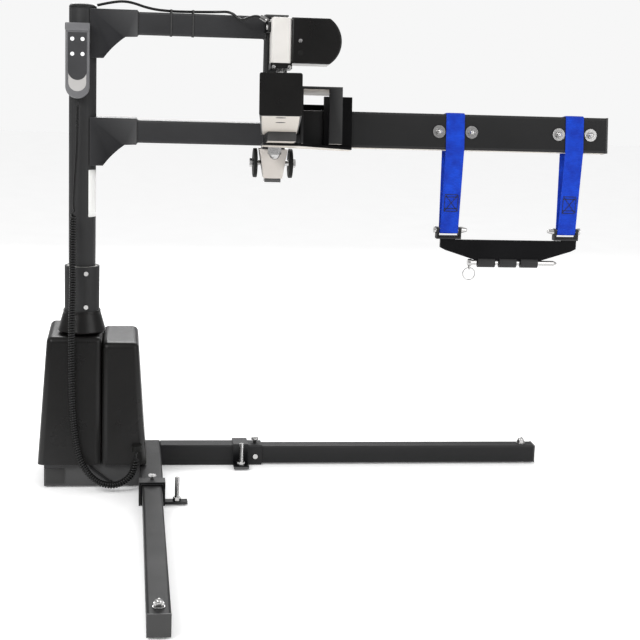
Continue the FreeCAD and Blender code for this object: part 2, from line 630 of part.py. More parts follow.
def jib_parts():
    half = "jib_size / 2"
    left, low = "%s - %s" % (HEAD, half), "pivot_z - " + half
    length = "jib_back - jib_front"
    tube = square_tube("jib_tube", (left, "jib_front", low), ("jib_size", length, "jib_size"), "jib_wall",
                       "y")
    tube.Label = "jib_tube"
    tilted(tube, yaw=True)
    cap_wall = 5
    cap = box("jib_cap_block", (left, "jib_front - %d" % cap_wall, low), "jib_size", cap_wall, "jib_size")
    cap = round_edges("jib_cap", cap, 4, along("y"))
    cap.Label = "jib_end_cap"
    tilted(cap, yaw=True)
    knuckle = 36
    plate_at = ("%s - %s" % (HEAD, half), "jib_back + 4", low)
    plate = box("knuckle_plate", plate_at, "jib_size", 8, "jib_size")
    tongue = box("knuckle_tongue", ("%s - %d" % (HEAD, knuckle / 2), "jib_back + 11", "pivot_z - 15"),
                 knuckle,
                 "pivot_y - jib_back - 11", 30)
    eye = rod("knuckle_eye", ("%s - %d" % (HEAD, knuckle / 2), "pivot_y", "pivot_z"), "x", 15, knuckle)
    bore = rod("knuckle_bore", ("%s - %d" % (HEAD, knuckle), "pivot_y", "pivot_z"), "x",
               "pivot_radius + pin_gap", 2 * knuckle)
    body = cut("jib_knuckle", fuse("knuckle_body", plate, tongue, eye), bore)
    body.Label = "jib_knuckle"
    tilted(body)


def corner_bracket():
    """Welded bracket that carries the long boom beside the jib: plates above and below, and a front strap."""
    jib_right = "%s + jib_size / 2 + 0.5" % HEAD
    low = "pivot_z - boom_drop - boom_height / 2"
    front, back = "boom_y - boom_depth / 2 - 95", "boom_y + boom_depth / 2"
    depth = "(%s) - (%s)" % (back, front)
    wall = "bracket_plate"
    under, outline = sketch_body("bracket_under", "XY_Plane", [
        (HEAD + " - jib_size / 2", front), (jib_right, front), ("socket_tip",
                                                                "boom_y - boom_depth / 2 - bracket_plate"),
        ("socket_tip", back), (HEAD + " - jib_size / 2", "jib_back + 4")],
        profile_shift="(%s) - bracket_plate" % low)
    pad(under, outline, wall)
    over = box("bracket_over", (jib_right, front, "bracket_top - bracket_plate"),
               "bracket_right - (%s)" % jib_right,
               depth, wall)
    side = box("bracket_side", (jib_right, front, low), wall, "(%s)" % depth, "bracket_top - (%s)" % low)
    rear = box("bracket_rear", (jib_right, back, low), "socket_tip - (%s)" % jib_right, wall,
               "bracket_top - bracket_plate - (%s) - 20" % low)
    strap = box("bracket_strap", ("bracket_right - 29", front, low), 29, wall, "bracket_top - (%s)" % low)
    cheek = box("bracket_cheek", ("bracket_right - 29", "boom_y - boom_depth / 2 - bracket_plate", low),
                "socket_tip - bracket_right + 29", wall, "bracket_top - bracket_plate - (%s) - 6" % low)
    slope = doc.addObject("Part::Wedge", "bracket_slope")
    for prop, formula in (("Xmin", 0), ("Xmax", "socket_tip - bracket_right + 1"), ("Zmin", 0),
                          ("Zmax", "boom_depth + bracket_plate"), ("Ymin", 0), ("Ymax", 30), ("X2min",
                                                                                              0), ("X2max",
                                                                                                   2),
                          ("Z2min", 0), ("Z2max", "boom_depth + bracket_plate")):
        bind(slope, prop, formula)
    place(slope, ("bracket_right - 1", back, "%s + boom_height" % low), Rotation(Vector(1, 0, 0), 90))
    joined = fuse("bracket_joined", under, over, side, rear, strap, cheek, slope)
    boom = box("bracket_boom_space", ("(%s) + bracket_plate" % jib_right, "boom_y - boom_depth / 2", low),
               "boom_end", "boom_depth", "boom_height")
    jib = box("bracket_jib_space", (HEAD + " - jib_size / 2 - 1", "jib_front", low), "jib_size + 1.5",
              "jib_back - jib_front + 12", "boom_drop")
    spacer = box("jib_spacer", (HEAD + " - jib_size / 2 + 6", "jib_back - 90", low), "jib_size - 20", 88,
                 "boom_drop - (jib_size - boom_height) / 2 - 0.2")
    body = fuse("corner_bracket", cut("bracket_cut", joined, boom, jib), spacer)
    body.Label = "corner_bracket"
    tilted(body)


BOOM_LOW = "pivot_z - boom_drop - boom_height / 2"
BOOM_FRONT = "boom_y - boom_depth / 2"


def boom_parts():
    start = "%s + jib_size / 2 + 0.5 + bracket_plate" % HEAD
    tube = square_tube("boom_tube", (start, BOOM_FRONT, BOOM_LOW),
                       ("boom_end - (%s)" % start, "boom_depth", "boom_height"), "jib_wall", "x")
    tube.Label = "boom_tube"
    tilted(tube)
    cap = box("boom_end_cap", ("boom_end", BOOM_FRONT, BOOM_LOW), 4, "boom_depth", "boom_height")
    tilted(cap)
    bosses = []
    for strap in ("strap_one_x", "strap_two_x"):
        for side, shift in (("a", -37), ("b", 37)):
            name = strap[:9] + side
            centre = "%s + %d" % (strap, shift)
            flange = rod("boss_%s" % name,
                         (centre, "%s - 3" % BOOM_FRONT, "%s + boom_height / 2" % BOOM_LOW), "y", 14, 3)
            nut = hexagon("nut_%s" % name,
                          (centre, "%s - 9" % BOOM_FRONT, "%s + boom_height / 2" % BOOM_LOW), "y", 8, 7)
            crown = dome("crown_%s" % name,
                         (centre, "%s - 9" % BOOM_FRONT, "%s + boom_height / 2" % BOOM_LOW), 5.5)
            bosses.append(fuse("boom_bolt_%s" % name, flange, nut, crown))
    bolts = group("strap_guide_bolts", *bosses)
    tilted(bolts)
    # the lug that the actuator's rod pulls on, welded on top of the jib
    ears, gap = [], 11
    for side, x in (("left", "%s - %d" % (HEAD, gap + 6)), ("right", "%s + %d" % (HEAD, gap))):
        nose = rod("rod_ear_" + side, (x, "act_low_y", "act_low_z"), "x", 11, 6)
        foot = box("rod_ear_foot_" + side, (x, "act_low_y - 11", "pivot_z + jib_size / 2 - 18"), 6, 22,
                   "act_low_z - pivot_z - jib_size / 2 + 18")
        ears.append(fuse("rod_lug_" + side, nose, foot))
    lug = fuse("rod_lug_body", *ears, rod("rod_pin", ("%s - %d" % (HEAD, gap + 9), "act_low_y", "act_low_z"), "x",
                                       "act_pin_radius", 2 * (gap + 9)),
               box("rod_lug_web", ("%s - %d" % (HEAD, gap + 6), "act_low_y - 11", "pivot_z + jib_size / 2 + 0.5"),
                   2 * (gap + 6), 22, 4))
    return lug


# ---------------------------------------------------------------- actuator
def actuator():
    """Gearbox and motor hung from the post, with a rod down to the jib; drawn upright, then leaned on its line."""
    lean = math.degrees(math.atan2(size("act_top_y") - size("act_low_y"),
                                   size("act_top_z") - size("act_low_z")))
    top = Vector(number_of(HEAD), size("act_top_y"), size("act_top_z"))
    length = math.hypot(size("act_top_y") - size("act_low_y"), size("act_top_z") - size("act_low_z"))
    move = Placement(top, Rotation(Vector(1, 0, 0), -lean))
    width, tall, above = size("act_width"), 78, 20
    pin = size("act_pin_radius")

    def enter(name, shape):
        shape.transformShape(move.toMatrix(), True)
        keep(free_shape(name, shape))

    half = width / 2
    gearbox = Part.makeBox(width, width, tall + above, Vector(-half, -half, -tall))
    rounded = [e for e in gearbox.Edges if abs(e.tangentAt(0).z) > 0.9 or e.CenterOfMass.z > above - 1]
    gearbox = gearbox.makeFillet(6, rounded)
    pin_bore = Part.makeCylinder(pin, 30, Vector(-half - 5, 0, 0), Vector(1, 0, 0))
    core = Part.makeCylinder(size("rod_radius") + 0.05, tall - 12, Vector(0, 0, -tall))
    enter("actuator_gearbox", gearbox.cut(core).cut(pin_bore))
    flange = Part.makeBox(width + 2, width + 2, 12, Vector(-half - 1, -half - 1, -tall - 12))
    screws = [Part.makeCylinder(3.5, 3, Vector(x, -half - 4, -tall - 6),
                                Vector(0, 1, 0)) for x in (-half + 5, half - 5)]
    flange = flange.fuse(screws[0]).fuse(screws[1])
    enter("actuator_flange", flange.cut(Part.makeCylinder(size("rod_radius") + 0.05, 40, Vector(0, 0,
                                                                                                -tall - 20))))
    reach, high = size("motor_length"), size("motor_height")
    radius = high / 2
    nose = 26
    centre_z = above - radius
    outline = [Part.LineSegment(Vector(half, 0, above), Vector(half + reach - nose, 0, above)).toShape(),
               Part.Arc(Vector(half + reach - nose, 0, above), Vector(half + reach, 0, centre_z),
                        Vector(half + reach - nose, 0, above - high)).toShape(),
               Part.LineSegment(Vector(half + reach - nose, 0, above - high),
                                Vector(half, 0, above - high)).toShape(),
               Part.LineSegment(Vector(half, 0, above - high), Vector(half, 0, above)).toShape()]
    face = Part.Face(Part.Wire(outline))
    motor = face.extrude(Vector(0, 44, 0))
    motor.translate(Vector(0.2, -16, 0))
    enter("motor_housing", motor)
    cover = face.extrude(Vector(0, -10, 0))
    cover = cover.makeFillet(4, [e for e in cover.Edges if e.BoundBox.YMax < -9.9])
    cover.translate(Vector(0.2, -16.2, 0))
    enter("motor_cover", cover)
    eye_radius = 12
    shank = Part.makeCylinder(size("rod_radius"), length - 36, Vector(0, 0, -length))
    eye = Part.makeCylinder(eye_radius, 18, Vector(-9, 0, -length), Vector(1, 0, 0))
    slack = 4.4
    slot = Part.makeCylinder(pin + slack, 30, Vector(-15, 0, -length), Vector(1, 0, 0))
    keep_rod = shank.fuse(eye).cut(slot)
    enter("actuator_rod", keep_rod.removeSplitter())


# ---------------------------------------------------------------- straps, spreader and release pin
def strap_loop(name, centre):
    """A webbing loop over the boom whose two legs meet at the spreader bolt; it hangs upright."""
    half_width, thick = size("strap_width") / 2, size("strap_thick")
    x = size(centre)
    pivot = Vector(0, size("pivot_y"), size("pivot_z"))
    tilt = Rotation(Vector(1, 0, 0), -size("jib_tilt"))
    front, back = number_of(BOOM_FRONT) - 0.6, size("boom_y") + size("boom_depth") / 2 + 0.6
    low, high = number_of(BOOM_LOW), number_of(BOOM_LOW) + size("boom_height") + 0.6
    corner = lambda y, z: pivot + tilt.multVec(Vector(0, y, z) - pivot)
    hang_y = size("boom_y")
    bottom = size("strap_bottom")
    ring = size("bolt_radius") + 0.6
    inside = [corner(front, low), corner(front, high), corner(back, high), corner(back, low)]
    lower = [Vector(0, hang_y + ring, bottom - ring), Vector(0, hang_y - ring, bottom - ring)]
    path = [Vector(0, p.y, p.z) for p in inside + lower]
    loop = Part.Wire([Part.LineSegment(a, b).toShape() for a, b in zip(path, path[1:])] +
                     [Part.LineSegment(path[-1], path[0]).toShape()])
    grown = loop.makeOffset2D(thick)
    inner, outer = Part.Face(loop), Part.Face(grown)
    band = outer.cut(inner).extrude(Vector(2 * half_width, 0, 0))
    band.translate(Vector(x - half_width, 0, 0))
    keep(free_shape(name, band.Solids[0]))


def spreader():
    y, wall = size("boom_y"), size("spreader_wall")
    left, right = size("strap_one_x") - 18, size("strap_two_x") + 26
    pin_z = size("strap_bottom")
    tab_top, shoulder, low = pin_z - 14, pin_z - 22, pin_z - 74
    mid = (left + right) / 2
    points = [(left, tab_top), (left + 34, tab_top), (left + 34, shoulder), (right - 34, shoulder),
              (right - 34, tab_top), (right, tab_top), (right, pin_z - 40), (right - 12, pin_z - 46),
              (mid + 58, low), (mid - 58, low), (left + 12, pin_z - 46), (left, pin_z - 40)]
    plate = Part.Face(Part.makePolygon([Vector(a, 0, b) for a, b in points + points[:1]])).extrude(Vector(0,
                                                                                                          wall, 0))
    plate.translate(Vector(0, y - wall / 2, 0))
    knuckles, gap = [], 10
    length = 40
    start = mid - 1.5 * length - gap
    for i in range(3):
        x = start + i * (length + gap)
        tube = Part.makeCylinder(size("knuckle_radius"), length, Vector(x, y, low), Vector(1, 0, 0))
        plate = plate.fuse(tube)
    bore = Part.makeCylinder(size("pin_radius") + size("pin_gap"), 400, Vector(mid - 200, y, low),
                             Vector(1, 0, 0))
    for centre in ("strap_one_x", "strap_two_x"):
        x = size(centre)
        for side in (-1, 1):
            inner = x + side * (size("strap_width") / 2 + 1.5)
            cheek = Part.makeBox(6, 18, 24, Vector(min(inner, inner + side * 6), y - 9, pin_z - 18))
            plate = plate.fuse(cheek)
        foot = Part.makeBox(size("strap_width") + 15, 18, 7,
                            Vector(x - size("strap_width") / 2 - 7.5, y - 9, pin_z - 20))
        plate = plate.fuse(foot)
    keep(free_shape("spreader_plate", plate.cut(bore).removeSplitter().Solids[0]))
    bolts = []
    for centre, out in (("strap_one_x", 1), ("strap_two_x", -1)):
        x, half = size(centre), size("strap_width") / 2 + 7.5
        shank = Part.makeCylinder(size("bolt_radius"), 2 * half + 12, Vector(x - half - 6, y, pin_z),
                                  Vector(1, 0, 0))
        head = Part.makeCylinder(8, 5, Vector(x - out * (half + 5 if out > 0 else half), y, pin_z),
                                 Vector(1, 0, 0))
        nut = Part.makeCone(8, 4, 14, Vector(x + out * half, y, pin_z), Vector(out, 0, 0))
        bolts.append(shank.fuse(head).fuse(nut).removeSplitter())
    keep(free_shape("spreader_bolts", Part.makeCompound(bolts)))
    plate = parts["spreader_plate"].Shape
    for bolt in bolts:
        plate = plate.cut(bolt)
    parts["spreader_plate"].Shape = plate.Solids[0]
    head_x = start - 14
    body = Part.makeCylinder(size("pin_radius"), 3 * length + 2 * gap + 52, Vector(head_x, y, low),
                             Vector(1, 0, 0))
    knob = Part.makeCylinder(8, 9, Vector(head_x - 9, y, low), Vector(1, 0, 0))
    tip = Part.makeCone(size("pin_radius"), 2.5, 8, Vector(head_x + 3 * length + 2 * gap + 52, y, low),
                        Vector(1, 0, 0))
    eye_x = head_x - 4.5
    eye_z = low - 8
    eyelet = Part.makeTorus(5, 1.6, Vector(eye_x, y, eye_z - 3), Vector(1, 0, 0))
    keep(free_shape("release_pin", body.fuse(knob).fuse(tip).fuse(eyelet).removeSplitter().Solids[0]))
    ring = Part.makeTorus(14, 1.3, Vector(eye_x, y, eye_z - 3 - 5 - 10.8 + 0.4), Vector(0, 1, 0))
    keep(free_shape("pull_ring", ring))


# ---------------------------------------------------------------- cords
def cords():
    lead_x, lead_y = -size("mast_radius") / 3, number_of(HANDSET_Y) - size("handset_depth") / 2
    low = size("handset_bottom")
    front = size("chassis_front") - size("cover_overhang")
    # straight lead from the handset, down the mast
    lead = [Vector(lead_x, lead_y, low - 14), Vector(lead_x, lead_y + 1, low - 70),
            Vector(lead_x - 2, lead_y, low - 130),
            Vector(lead_x - 6, lead_y - 2, low - 188), Vector(lead_x - 8, lead_y - 4, 640)]
    keep(cord_tube("handset_lead", lead, size("lead_radius")))
    relief = Part.makeCone(3.6, 5, 14.3, Vector(lead_x, lead_y, low - 14.3))
    relief = relief.cut(Part.makeCylinder(size("lead_radius"), 0.3, Vector(lead_x, lead_y, low - 14.3)))
    shell = parts["handset_shell"]
    shell.Shape = shell.Shape.fuse(relief).removeSplitter().Solids[0]
    # the curly stretch hangs clear of the column, loops under the covers and comes up to its gland
    curly = [Vector(lead_x - 8, lead_y - 4, 639.6), Vector(lead_x - 10, lead_y - 14, 560),
             Vector(-18, -80, 470),
             Vector(-20, -100, 372), Vector(-19, -112, 262), Vector(-15, -114, 160), Vector(-3, -113, 78),
             Vector(28, -112, 28), Vector(72, -112, 13), Vector(108, -112, 30), Vector(124, -111, 62),
             Vector(126, front - 14, 92)]
    end = curly[-1]
    keep(cord_tube("curly_cord", curly, size("curly_radius")))
    gland = Part.makeCylinder(11, 12, end + Vector(0, 0, 0.4))
    bracket = Part.makeBox(22, 26, 6, Vector(end.x - 11, end.y, end.z + 6))
    body = gland.fuse(bracket)
    cover = parts["battery_cover"].Shape
    keep(free_shape("cord_gland", body.cut(cover).cut(parts["curly_cord"].Shape).Solids[0]))


def actuator_cable():
    top = size("mast_top")
    arm_top = size("upper_arm_z") + size("arm_size")
    radius = size("cable_radius")
    gear_x = number_of(HEAD) - size("act_width") / 2
    bed = arm_top + radius + 0.3
    points = [Vector(size("mast_radius") + 1, -12, top - 3), Vector(66, -12, top + 6),
              Vector(100, -12, top + 8),
              Vector(145, -12, bed + 4), Vector(192, -12, bed), Vector(240, -12, bed + 0.6), Vector(290,
                                                                                                    -14, bed + 2),
              Vector(322, -36, bed + 4), Vector(342, -46, bed - 16), Vector(362, -58, bed - 8),
              Vector(378, -70, bed - 2), Vector(gear_x - 12, -96, bed - 12)]
    keep(cord_tube("actuator_cable", points, radius))
    ties = []
    low, half = size("upper_arm_z"), size("arm_size") / 2
    for x in (192, 240):
        outer = Part.makeBox(4, 2 * half + 3, size("arm_size") + 2 * radius + 3.4,
                             Vector(x - 2, -half - 1.5, low - 1.5))
        inner = Part.makeBox(4, 2 * half + 0.2, size("arm_size") + 2 * radius + 0.9,
                             Vector(x - 2, -half - 0.1, low - 0.1))
        ties.append(outer.cut(inner))
    keep(free_shape("cable_ties", Part.makeCompound(ties)))


def rod_lug(lug):
    doc.recompute()
    trimmed = lug.Shape.cut(parts["jib_knuckle"].Shape).cut(parts["jib_tube"].Shape)
    keep(free_shape("actuator_lug", max(trimmed.Solids, key=lambda solid: solid.Volume)))


# small pieces of one kind that are fixed to one assembly share a file
GROUPS = {
    "tube_caps": ["mast_cap", "post_cap", "rubber_pad"],
    "head_fasteners": ["roller_axle", "post_foot_nut", "jib_pivot_pin", "actuator_top_pin"],
    "base_fasteners": ["levelling_studs", "clamp_screws", "sleeve_bolts"],
    "leg_collars": ["front_leg_collar", "right_leg_collar"],
    "arm_sockets": ["upper_arm_socket", "lower_arm_socket"],
    "boom_end_caps": ["jib_end_cap", "boom_end_cap"],
}

base_box()
covers()
column()
legs_and_clamps()
mast_assembly()
head_hinges()
cut_pin_holes()
roller_bracket()
handset()
jib_parts()
corner_bracket()
rod_lug(boom_parts())
actuator()
for strap_name, strap_x in (("strap_left", "strap_one_x"), ("strap_right", "strap_two_x")):
    strap_loop(strap_name, strap_x)
spreader()
doc.recompute()
cords()
actuator_cable()
doc.recompute()
for label, members in GROUPS.items():
    joined = Part.makeCompound([solid for name in members for solid in parts.pop(name).Shape.Solids])
    keep(free_shape(label + "_group", joined), label)

failed = [o.Name for o in doc.Objects if "Invalid" in o.State or "Error" in o.State]
assert not failed, failed
os.makedirs("parts", exist_ok=True)
for label, part in sorted(parts.items()):
    shape = part.Shape
    assert not shape.isNull() and shape.isValid(), label
    shape.exportStep("parts/%s.step" % label)
    print("%-22s %2d solids %9.0f mm3" % (label, len(shape.Solids), shape.Volume))
print(len(parts), "sub-parts")
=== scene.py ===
"""Looks of the patient lift hoist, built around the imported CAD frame. Metres, +Z up."""

import json
import math

import bmesh
import bpy
from mathutils import Matrix, Vector
from mathutils.bvhtree import BVHTree


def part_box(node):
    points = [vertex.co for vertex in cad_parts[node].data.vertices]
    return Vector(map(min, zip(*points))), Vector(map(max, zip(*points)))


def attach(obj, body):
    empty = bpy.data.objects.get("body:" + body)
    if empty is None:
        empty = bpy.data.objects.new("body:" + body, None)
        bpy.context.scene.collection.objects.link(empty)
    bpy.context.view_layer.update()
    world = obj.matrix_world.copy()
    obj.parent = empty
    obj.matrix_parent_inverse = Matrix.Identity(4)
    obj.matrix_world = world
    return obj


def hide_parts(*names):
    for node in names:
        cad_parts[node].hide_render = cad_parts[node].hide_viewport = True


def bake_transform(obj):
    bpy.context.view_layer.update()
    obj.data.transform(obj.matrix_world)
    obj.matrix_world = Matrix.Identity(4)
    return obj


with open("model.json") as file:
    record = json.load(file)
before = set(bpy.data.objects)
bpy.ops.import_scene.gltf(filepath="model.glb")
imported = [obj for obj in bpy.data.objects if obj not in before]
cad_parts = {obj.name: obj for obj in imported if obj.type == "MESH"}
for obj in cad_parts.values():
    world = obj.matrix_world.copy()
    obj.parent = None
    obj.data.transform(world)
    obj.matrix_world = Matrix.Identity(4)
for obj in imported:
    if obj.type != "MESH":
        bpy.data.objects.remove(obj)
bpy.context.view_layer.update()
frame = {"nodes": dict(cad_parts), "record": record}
record = frame["record"]
nodes = frame["nodes"]


# ---------------------------------------------------------------- camera, floor and light
CAMERA_AT = (0.0968, -3.3936, 1.0232)
CAMERA_TURN = (7.53, -10.67, 1.9)  # yaw, pitch and roll in degrees
LENS_MM = 84.5
SENSOR_MM = 36
FLOOR_REACH = 12
FLOOR_LEVEL = -0.0005  # just under the feet
LIT_CENTRE = (0.5, 0, 0.6)


def make_camera():
    """The photograph's camera: a long lens near the mast's line, looking slightly down."""
    yaw, pitch, roll = (math.radians(angle) for angle in CAMERA_TURN)
    look = Vector((math.sin(yaw) * math.cos(pitch), math.cos(yaw) * math.cos(pitch), math.sin(pitch)))
    side = Vector((math.cos(yaw), -math.sin(yaw), 0))
    up = side.cross(look)
    right = side * math.cos(roll) + up * math.sin(roll)
    up = up * math.cos(roll) - side * math.sin(roll)
    data = bpy.data.cameras.new("camera")
    data.lens = LENS_MM
    data.sensor_width = SENSOR_MM
    camera = bpy.data.objects.new("camera", data)
    turn = Matrix((right, up, -look)).transposed().to_4x4()
    camera.matrix_world = Matrix.Translation(CAMERA_AT) @ turn
    bpy.context.scene.collection.objects.link(camera)
    bpy.context.scene.camera = camera


def area_light(name, at, size, power):
    """A square soft light that faces the middle of the object."""
    data = bpy.data.lights.new(name, "AREA")
    data.size = size
    data.energy = power
    lamp = bpy.data.objects.new(name, data)
    lamp.location = at
    lamp.rotation_euler = (Vector(LIT_CENTRE) - Vector(at)).to_track_quat("-Z", "Y").to_euler()
    bpy.context.scene.collection.objects.link(lamp)


def make_world():
    """Pale to the camera, and a bright sky over a dark horizon in what it lights and what metal reflects."""
    world = bpy.data.worlds.new("studio")
    bpy.context.scene.world = world
    world.use_nodes = True
    tree = world.node_tree
    shown = tree.nodes["Background"]
    shown.inputs["Color"].default_value = (0.93, 0.93, 0.93, 1)
    lit = add_node(tree, "ShaderNodeBackground", Strength=0.85)
    place = add_node(tree, "ShaderNodeTexCoord")
    split = add_node(tree, "ShaderNodeSeparateXYZ")
    tree.links.new(place.outputs["Generated"], split.inputs[0])
    height = add_node(tree, "ShaderNodeMath", operation="MULTIPLY_ADD")
    height.inputs[1].default_value = 0.5
    height.inputs[2].default_value = 0.5
    tree.links.new(split.outputs["Z"], height.inputs[0])
    sky = ramp(tree, height.outputs[0], 0.50, 0.72, (0.10, 0.10, 0.11), (0.95, 0.95, 0.95))
    tree.links.new(sky.outputs["Color"], lit.inputs["Color"])
    path = add_node(tree, "ShaderNodeLightPath")
    mix = add_node(tree, "ShaderNodeMixShader")
    tree.links.new(path.outputs["Is Camera Ray"], mix.inputs[0])
    tree.links.new(lit.outputs[0], mix.inputs[1])
    tree.links.new(shown.outputs[0], mix.inputs[2])
    tree.links.new(mix.outputs[0], tree.nodes["World Output"].inputs["Surface"])
    bpy.context.scene.view_settings.view_transform = "Standard"


def make_studio():
    """The world, three soft lights, and a pale floor that glows enough to meet the background."""
    make_world()
    area_light("key", (-1.8, -2.6, 2.8), 1.6, 75)
    area_light("fill", (3.0, -2.4, 1.6), 2.2, 45)
    area_light("rim", (0.4, 2.6, 2.2), 1.8, 55)
    square = ((-1, -1), (1, -1), (1, 1), (-1, 1))
    corners = [(x * FLOOR_REACH, y * FLOOR_REACH, FLOOR_LEVEL) for x, y in square]
    floor = mesh_object("floor", corners, [(0, 1, 2, 3)])
    floor.data.materials.append(floor_material())


# ---------------------------------------------------------------- materials
# painted reflection: the beige that downward faces get, standing in for the white floor's light reflected on
# black powder coat
UNDERSIDE_REFLECTION_BEIGE = (0.50, 0.46, 0.41)
WORN_EDGE = (0.3, 0.3, 0.3)
PATCH_RANGE = (0.3, 0.7)  # where a noise passes from the dark tone to the light one
EDGE_RANGE = (0.53, 0.60)  # how pointed a surface is where wear starts, and where it is full
# faces that look further down than this get the painted floor reflection
FACING_DOWN = -0.88  # an upright part of the normal below this is an underside
GLOSS_SPREAD = 0.18
BUMP_DEPTH = 0.0006
MIX_FACTOR, MIX_BASE, MIX_OVER, MIX_RESULT = 0, 6, 7, 2  # a colour mix's sockets, by place


def new_material(name):
    material = bpy.data.materials.new(name)
    material.use_nodes = True
    tree = material.node_tree
    return material, tree, tree.nodes["Principled BSDF"]


def add_node(tree, kind, **values):
    """A new node, with the values set on its sockets or, where it has no such socket, on itself."""
    node = tree.nodes.new(kind)
    for key, value in values.items():
        if key in node.inputs:
            node.inputs[key].default_value = value
        else:
            setattr(node, key, value)
    return node


def noise(tree, scale, detail):
    """A noise in the object's own coordinates, so it moves with the piece."""
    place = add_node(tree, "ShaderNodeTexCoord")
    grain = add_node(tree, "ShaderNodeTexNoise")
    grain.inputs["Scale"].default_value = scale
    grain.inputs["Detail"].default_value = detail
    tree.links.new(place.outputs["Object"], grain.inputs["Vector"])
    return grain


def ramp(tree, source, low, high, dark, light):
    """Maps a value to a colour between two tones."""
    node = add_node(tree, "ShaderNodeValToRGB")
    node.color_ramp.elements[0].position = low
    node.color_ramp.elements[1].position = high
    node.color_ramp.elements[0].color = (*dark, 1)
    node.color_ramp.elements[1].color = (*light, 1)
    tree.links.new(source, node.inputs["Fac"])
    return node


def add_bump(tree, shader, source, strength, distance):
    bump = add_node(tree, "ShaderNodeBump")
    bump.inputs["Strength"].default_value = strength
    bump.inputs["Distance"].default_value = distance
    tree.links.new(source, bump.inputs["Height"])
    tree.links.new(bump.outputs["Normal"], shader.inputs["Normal"])


def floor_material():
    material, tree, shader = new_material("pale_floor")
    patches = noise(tree, 6, 4)
    tone = ramp(tree, patches.outputs["Fac"], *PATCH_RANGE, (0.97, 0.97, 0.97), (1, 1, 1))
    tree.links.new(tone.outputs["Color"], shader.inputs["Base Color"])
    shader.inputs["Roughness"].default_value = 0.9
    shader.inputs["Emission Color"].default_value = (1, 1, 1, 1)
    shader.inputs["Emission Strength"].default_value = 0.17
    return material


def surface(name, colour, roughness, grain, strength, spread=0.25, metal=0.0, wear=0.0, under=None,
            gleam=0.5):
    """Patchy colour, fine grain and varied gloss and, if asked, worn edges and an underside painted with the
    floor's reflected light.
    """
    material, tree, shader = new_material(name)
    patches = noise(tree, 9, 6)
    dark = [c * (1 - spread) for c in colour]
    light = [min(1, c * (1 + spread)) for c in colour]
    tone = ramp(tree, patches.outputs["Fac"], *PATCH_RANGE, dark, light)
    colour_out = tone.outputs["Color"]
    if wear:
        geometry = add_node(tree, "ShaderNodeNewGeometry")
        edge = ramp(tree, geometry.outputs["Pointiness"], *EDGE_RANGE, (0, 0, 0), (wear, wear, wear))
        colour_out = mixed(tree, edge.outputs["Color"], colour_out, WORN_EDGE)
    # painted reflection: faces that look down take the given colour as the floor's reflected light, not as
    # bare metal
    if under:
        geometry = add_node(tree, "ShaderNodeNewGeometry")
        split = add_node(tree, "ShaderNodeSeparateXYZ")
        tree.links.new(geometry.outputs["Normal"], split.inputs[0])
        below = add_node(tree, "ShaderNodeMath", operation="LESS_THAN")
        below.inputs[1].default_value = FACING_DOWN
        tree.links.new(split.outputs["Z"], below.inputs[0])
        colour_out = mixed(tree, below.outputs[0], colour_out, under)
    tree.links.new(colour_out, shader.inputs["Base Color"])
    smooth, rough = roughness * (1 - GLOSS_SPREAD), roughness * (1 + GLOSS_SPREAD)
    gloss = ramp(tree, patches.outputs["Fac"], 0.25, 0.75, [smooth] * 3, [min(1, rough)] * 3)
    tree.links.new(gloss.outputs["Color"], shader.inputs["Roughness"])
    shader.inputs["Metallic"].default_value = metal
    shader.inputs["Specular IOR Level"].default_value = gleam
    fine = noise(tree, grain, 2)
    add_bump(tree, shader, fine.outputs["Fac"], strength, BUMP_DEPTH)
    return material


def mixed(tree, factor, base, over):
    """The base colour with another laid over it, by a factor."""
    mix = add_node(tree, "ShaderNodeMix", data_type="RGBA")
    tree.links.new(factor, mix.inputs[MIX_FACTOR])
    tree.links.new(base, mix.inputs[MIX_BASE])
    mix.inputs[MIX_OVER].default_value = (*over, 1)
    return mix.outputs[MIX_RESULT]


def webbing_material():
    """Blue polyester webbing: fine lengthwise yarns over the ribs that the mesh carries."""
    material, tree, shader = new_material("webbing")
    place = add_node(tree, "ShaderNodeTexCoord")
    yarn = add_node(tree, "ShaderNodeTexWave", wave_type="BANDS", bands_direction="X")
    yarn.inputs["Scale"].default_value = 380
    yarn.inputs["Distortion"].default_value = 0.6
    tree.links.new(place.outputs["Object"], yarn.inputs["Vector"])
    patches = noise(tree, 40, 5)
    tone = ramp(tree, patches.outputs["Fac"], *PATCH_RANGE, (0.001, 0.024, 0.32), (0.002, 0.050, 0.50))
    tree.links.new(tone.outputs["Color"], shader.inputs["Base Color"])
    shader.inputs["Roughness"].default_value = 0.62
    shader.inputs["Sheen Weight"].default_value = 0.1
    shader.inputs["Specular IOR Level"].default_value = 0.15
    add_bump(tree, shader, yarn.outputs["Fac"], 0.35, 0.0004)
    return material


